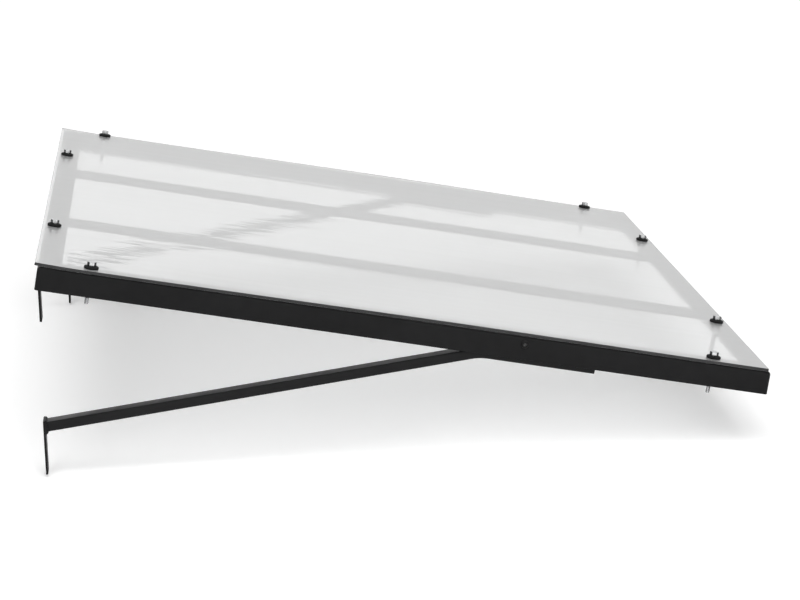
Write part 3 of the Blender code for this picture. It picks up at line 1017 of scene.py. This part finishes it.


# from the flange up each bolt has the sheet, a washer and its head, and under the flange its nut;
# the faces between the head's rings come first in the mesh, and get zinc with painted shade
def makeRoofBolts():
    washerSeat = canopy["gap"] * 2 + sheet["thickness"]
    headSeat = washerSeat + washer["height"] + canopy["gap"]
    nutSeat = -canopy["angleWall"] - canopy["gap"]
    for number, (spin, (_, x, y)) in enumerate(zip(bolt["spins"], boltPlaces()), 1):
        rings = turned(boltRings(), spin) + np.array([x, y, headSeat])
        piece = makeRound(f"roofBolt{number}", rings, False, "zinc", "zinc", f"roof_bolt_{number}")
        piece.data.materials.append(finish["head"])
        for face in piece.data.polygons[:bolt["headRings"] * bolt["around"]]:
            face.material_index = 1
        rings = turned(nutRings(), spin * 2) + np.array([x, y, nutSeat])
        makeRound(f"roofNut{number}", rings, True, "zinc", "zinc", f"roof_nut_{number}")
        rings = washerRings() + np.array([x, y, washerSeat])
        node = f"seal_washer_{number}"
        makeRound(f"sealWasher{number}", rings, True, "rubber", "rubber", node)


makeRoofBolts()
print("roof bolts made")


# a piece that stands on Z is laid so that it points out through the side rail
def sideways(points, sign):
    x, y, z = points[..., 0], points[..., 1], points[..., 2]
    return np.stack([sign * z, y, -sign * x], -1)


# a lug's outer face is a grid of (along the rail, height) inside the leg, and grows inwards
def makeLug(label, node, sign):
    x = sign * (canopy["width"] / 2 - canopy["angleWall"] - canopy["gap"])
    half, top = lug["length"] / 2, -canopy["angleWall"] - lug["topBelowFlange"]
    u, v = np.meshgrid(np.linspace(-half, half, lug["lines"]),
                       np.linspace(lugFoot, top, lug["lines"]), indexing="ij")
    skin = roofToWorld(np.stack([0 * u + x, u + screwY, v], -1))
    faces = gridFaces(*u.shape, False, False)
    piece = makePiece(f"strutLug{label}", skin, faces, "plate", lug["sharp"])
    thickenSkin(piece, (sign, 0, 0), lug["thickness"], lug["edge"])
    settle(piece)
    drill(piece, [(x, screwY, -lug["screwDrop"])], True, lug["drillLength"], lug["sharp"])
    finishPiece(piece, "plate_paint", f"strut_lug_{node}")


# the screw's head sits on the leg's outer face and its nut on the lug's inner one; the last face
# but one covers the first ring, which is the socket's floor
def makeStrutScrew(label, node, sign):
    nutSeat = canopy["width"] / 2 - canopy["angleWall"] - lug["thickness"] - canopy["gap"] * 2
    seat = [sign * (canopy["width"] / 2 + canopy["gap"]), screwY, -lug["screwDrop"]]
    rings = sideways(screwRings(), sign) + np.array(seat)
    screwNode = f"strut_screw_{node}"
    piece = makeRound(f"strutScrew{label}", rings, False, "screw", "black_screw", screwNode)
    # painted glint: the socket's floor gets the pale finish
    piece.data.materials.append(finish["socket"])
    piece.data.polygons[-2].material_index = 1
    rings = sideways(nutRings(), sign) + np.array([sign * nutSeat, screwY, -lug["screwDrop"]])
    makeRound(f"strutNut{label}", rings, True, "zinc", "zinc", f"strut_nut_{node}")


for side in sides:
    makeLug(*side)
    makeStrutScrew(*side)
print("lugs and screws made")


# weld seams; the lengths of the straight ones are shares of what they run along

weld = {
    "pitch": 0.0024,
    "ripple": 0.14,
    "around": 12,
    "stepsPerRipple": 6,
    "endPower": 8,
    "endLeast": 0.04,
    "sharp": 60,
}
seam = {
    "strutRadius": 0.0019,
    "strutFoot": 0.0011,
    "strutOutline": 0.0006,
    "rafterRadius": 0.0017,
    "rafterLength": 0.84,
    "plateRadius": 0.0014,
    "plateLength": 0.90,
    "plateInset": 0.75,
    "lugRadius": 0.0015,
    "lugLength": 0.90,
}


# a bead along a path: radius * (1 + ripple * (|sin(pi * way / pitch)| - 0.5)), closed like a ring
# or drawn in at both ends by sqrt(1 - |way from the middle| ** endPower), with its cross-section
# spanned by the face's normal and the sideways direction
def makeBead(name, path, radius, normal, closed):
    if closed:
        path = np.vstack([path, path[:1]])
        radius = np.append(radius, radius[:1])
    way = np.append(0, np.cumsum(np.linalg.norm(np.diff(path, axis=0), axis=1)))
    count = max(1, round(way[-1] / weld["pitch"]))
    at = np.linspace(0, way[-1], count * weld["stepsPerRipple"] + 1)
    at = at[:-1] if closed else at
    centre = np.stack([np.interp(at, way, path[:, axis]) for axis in range(3)], -1)
    size = np.interp(at, way, radius)
    if closed:
        tangent = np.roll(centre, -1, axis=0) - np.roll(centre, 1, axis=0)
    else:
        tangent = np.gradient(centre, axis=0)
        fromMiddle = np.abs(2 * at / way[-1] - 1)
        size = size * np.sqrt(np.clip(1 - fromMiddle ** weld["endPower"], weld["endLeast"], 1))
    tangent = unit(tangent)
    side = unit(np.cross(tangent, np.array(normal, float)))
    upward = np.cross(side, tangent)
    size = size * (1 + weld["ripple"] * (np.abs(np.sin(math.pi * at * count / way[-1])) - 0.5))
    turns = np.linspace(0, 2 * math.pi, weld["around"], endpoint=False)[None, :, None]
    ring = np.cos(turns) * side[:, None] + np.sin(turns) * upward[:, None]
    rings = centre[:, None] + ring * size[:, None, None]
    faces = ringFaces(*rings.shape[:2], closed)
    finishPiece(makePiece(name, rings, faces, "weld", weld["sharp"]), "plate_paint")


# a straight bead between two places on the roof
def makeSeam(name, start, end, radius):
    path = roofToWorld(np.array([start, end]))
    makeBead(name, path, np.array([radius, radius]), (0, 0, 1), False)


# round each strut's foot the bead follows the tube's outline on the plate, fattest underneath; the
# others run across the rafters' ends, along the wall rail's leg and along the lugs' feet
def makeWelds():
    clear = canopy["angleWall"] + canopy["gap"]
    width, height = (strut[key] + seam["strutOutline"] for key in ("width", "height"))
    outline = roundedRectangle(width, height, tube["corner"])
    under = np.clip(-outline[:, 1] / (strut["height"] / 2), 0, 1)
    radius = seam["strutRadius"] + seam["strutFoot"] * under
    for label, _, sign in sides:
        path, directions = strutPath(sign)
        along, across, upward = (vectors[0] for vectors in pathFrames(directions[:1]))
        foot = outline[:, :1] * across + outline[:, 1:] * upward
        foot = path[0] + foot - (foot[:, 1] / along[1])[:, None] * along
        makeBead(f"strutWeld{label}", foot, radius, (0, -1, 0), True)

        x, half = sign * rafter["spacing"] / 2, seam["rafterLength"] * rafter["width"] / 2
        z = -clear - rafter["height"]
        for end, y in (("Wall", -clear), ("Front", clear - canopy["depth"])):
            name = f"rafter{end}Weld{label}"
            makeSeam(name, (x - half, y, z), (x + half, y, z), seam["rafterRadius"])

        x = sign * (canopy["width"] / 2 - canopy["plateFromSide"])
        y, z = -canopy["angleWall"] * seam["plateInset"], -canopy["angleSize"]
        half = seam["plateLength"] * plate["width"] / 2
        name = f"upperPlateWeld{label}"
        makeSeam(name, (x - half, y, z), (x + half, y, z), seam["plateRadius"])

        x = sign * (canopy["width"] / 2 - clear - lug["thickness"])
        half = seam["lugLength"] * lug["length"] / 2
        start, end = (x, screwY - half, lugFoot), (x, screwY + half, lugFoot)
        makeSeam(f"lugWeld{label}", start, end, seam["lugRadius"])


makeWelds()
print("welds made")


# floor, light and camera

studio = {
    "floorHeight": -0.004,
    "floorSize": 60.0,
    "floorTone": 0.84,
    "floorGlow": 0.33,
    "skyTone": 0.8,
    "allRound": 0.19,
    "strip": 4.7,
    "stripMiddle": -0.05,
    "stripHalf": 0.30,
    "stripEdge": 8.0,
    "stripPast": -0.22,
}


# one large square; camera, glossy and transmission rays see it a little lighter, so that it shows
# white where it is lit and keeps the shadow
def makeFloor():
    size = studio["floorSize"]
    x, y = np.meshgrid([-size, size], [-size, size], indexing="ij")
    points = np.stack([x, y, 0 * x + studio["floorHeight"]], -1)
    mesh = bpy.data.meshes.new("floor")
    mesh.from_pydata(points.reshape(-1, 3).tolist(), [], gridFaces(2, 2, False, False))
    if mesh.polygons[0].normal.z < 0:
        mesh.flip_normals()
    floor = bpy.data.objects.new("floor", mesh)
    bpy.context.scene.collection.objects.link(floor)
    paint = newFinish("paleFloor")
    tone = studio["floorTone"]
    matte = paint.add("ShaderNodeBsdfDiffuse", None, {"Color": (tone, tone, tone, 1)})
    seen = paint.seenRays() * studio["floorGlow"]
    glow = paint.add("ShaderNodeEmission", None, {"Color": seen})
    both = paint.add("ShaderNodeAddShader", None, {0: matte, 1: glow})
    mesh.materials.append(paint.finish(both))


# light all round and a long soft strip on the camera's side, from near the horizon up, whose edges
# are clamp(distance inside * stripEdge + 0.5); seen straight on the world is white, and mirrored or
# through the sheet it has an even pale tone
def makeWorld():
    world = bpy.data.worlds.new("studio")
    bpy.context.scene.world = world
    air = Tree(world, "ShaderNodeOutputWorld")
    where = air.add("ShaderNodeTexCoord", out="Generated")
    x = air.add("ShaderNodeSeparateXYZ", None, {"Vector": where}, out="X")
    y, z, edge = x.pick("Y"), x.pick("Z"), studio["stripEdge"]
    across = air.clamp((studio["stripHalf"] - abs(y - studio["stripMiddle"])) * edge + 0.5)
    along = air.clamp((studio["stripPast"] - x) * edge + 0.5)
    above = air.clamp(z * edge)
    light = studio["allRound"] + across * along * above * studio["strip"]
    straight = air.add("ShaderNodeLightPath", out="Is Camera Ray")
    onward = air.clamp(straight.pick("Is Glossy Ray") + straight.pick("Is Transmission Ray"))
    shown = straight * (1 - light) + onward * (studio["skyTone"] - light)
    air.finish(air.add("ShaderNodeBackground", None, {"Color": light + shown}))


view = {
    "focalPixels": 2970.86,
    "imageWidth": 800,
    "sensor": 36.0,
    "azimuth": 265.684,
    "elevation": 11.560,
    "roll": -2.062,
    "place": (-4.28656, -0.18271, 0.96721),
    "near": 0.05,
    "far": 200.0,
}


# azimuth turns the line of sight round Z, elevation lifts the camera, and roll turns the picture in
# its plane; lens = focal length in pixels * sensor / image width
def makeCamera():
    azimuth, elevation, roll = (math.radians(view[key]) for key in ("azimuth", "elevation", "roll"))
    level, lift = math.cos(elevation), math.sin(elevation)
    right = np.array([math.cos(azimuth), math.sin(azimuth), 0])
    back = np.array([math.sin(azimuth) * level, -math.cos(azimuth) * level, lift])
    up = np.cross(back, right)
    data = bpy.data.cameras.new("camera")
    data.sensor_width = view["sensor"]
    data.lens = view["focalPixels"] * view["sensor"] / view["imageWidth"]
    data.clip_start = view["near"]
    data.clip_end = view["far"]
    camera = bpy.data.objects.new("camera", data)
    matrix = np.eye(4)
    matrix[:3, 0] = math.cos(roll) * right + math.sin(roll) * up
    matrix[:3, 1] = -math.sin(roll) * right + math.cos(roll) * up
    matrix[:3, 2] = back
    matrix[:3, 3] = view["place"]
    camera.matrix_world = Matrix(matrix.tolist())
    bpy.context.scene.collection.objects.link(camera)
    bpy.context.scene.camera = camera


makeFloor()
makeWorld()
makeCamera()
bpy.context.scene.view_settings.view_transform = "Standard"
print("floor, light and camera made")
